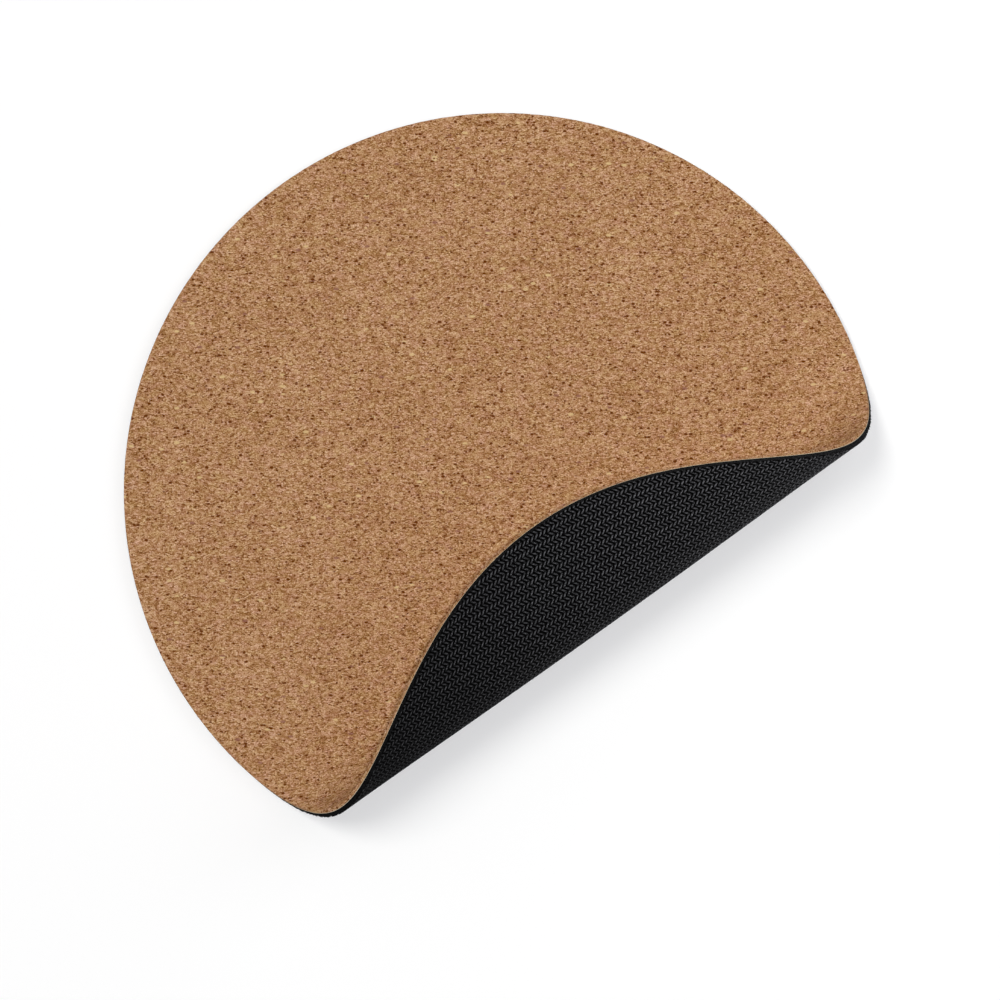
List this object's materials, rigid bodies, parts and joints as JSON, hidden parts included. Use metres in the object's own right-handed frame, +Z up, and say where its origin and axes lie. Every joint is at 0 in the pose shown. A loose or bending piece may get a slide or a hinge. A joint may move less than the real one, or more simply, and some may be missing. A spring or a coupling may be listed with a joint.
{
  "type": "mouse pad",
  "caption": "Round cork mouse pad bonded to an anti-slip rubber base with a fine herringbone underside, its front edge curled up and folded back.",
  "frame": {"origin": "centre of the round pad, on the underside that lies on the desk", "axes": "+Z up off the desk, +X along the fold line of the curled edge, the curl on the -Y side"},
  "size_m": [0.2, 0.1446, 0.052],
  "materials": {
    "cork": "matte agglomerated cork",
    "adhesive": "dull contact adhesive",
    "rubber": "moulded matte rubber"
  },
  "bodies": {
    "root": {"cork_sheet": "cork", "adhesive_film": "adhesive", "rubber_base": "rubber"}
  },
  "joints": []
}
